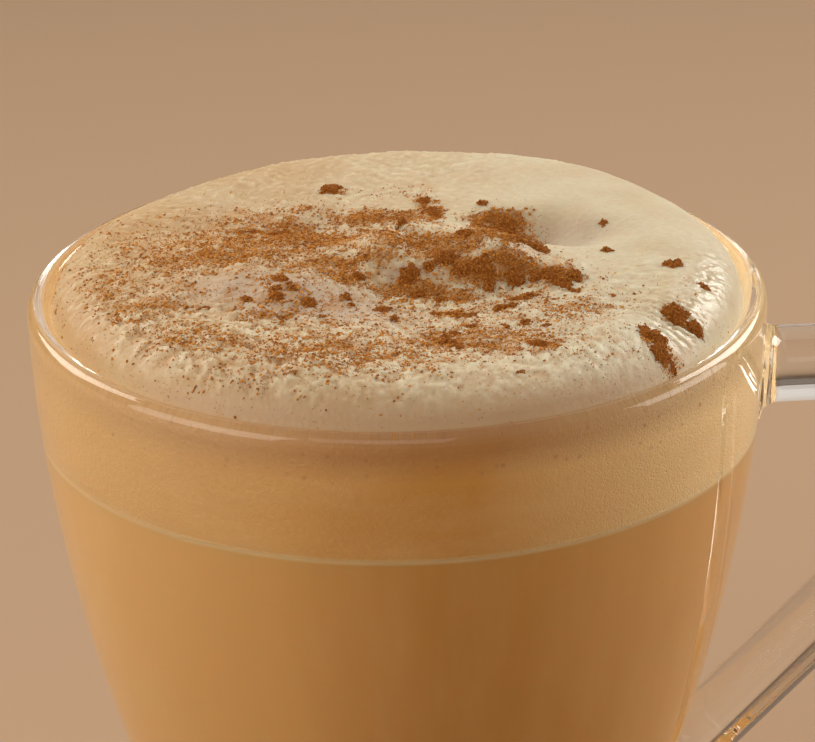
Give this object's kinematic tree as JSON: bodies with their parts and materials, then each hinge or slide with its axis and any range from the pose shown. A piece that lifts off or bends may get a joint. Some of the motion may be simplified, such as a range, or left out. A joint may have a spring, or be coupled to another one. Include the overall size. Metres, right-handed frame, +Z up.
{
  "type": "latte in a glass mug",
  "caption": "Latte in a clear glass mug with a side handle: coffee, a domed milk foam above the rim, and cinnamon clumps on it.",
  "frame": {"origin": "centre of the mug's flat base, on the surface it stands on", "axes": "+Z up, +X from the middle of the mug towards its handle, +Y to the side"},
  "size_m": [0.1176, 0.086, 0.0909],
  "materials": {
    "clear_glass": "clear polished soda-lime glass",
    "coffee": "milky coffee, opaque and wet against the glass",
    "milk_foam": "cream milk foam with fine bubbles, soft sheen",
    "cinnamon": "orange-brown cinnamon powder, dry and matte"
  },
  "bodies": {
    "root": {"glass_mug": "clear_glass", "coffee": "coffee", "milk_foam": "milk_foam"}
  },
  "joints": []
}
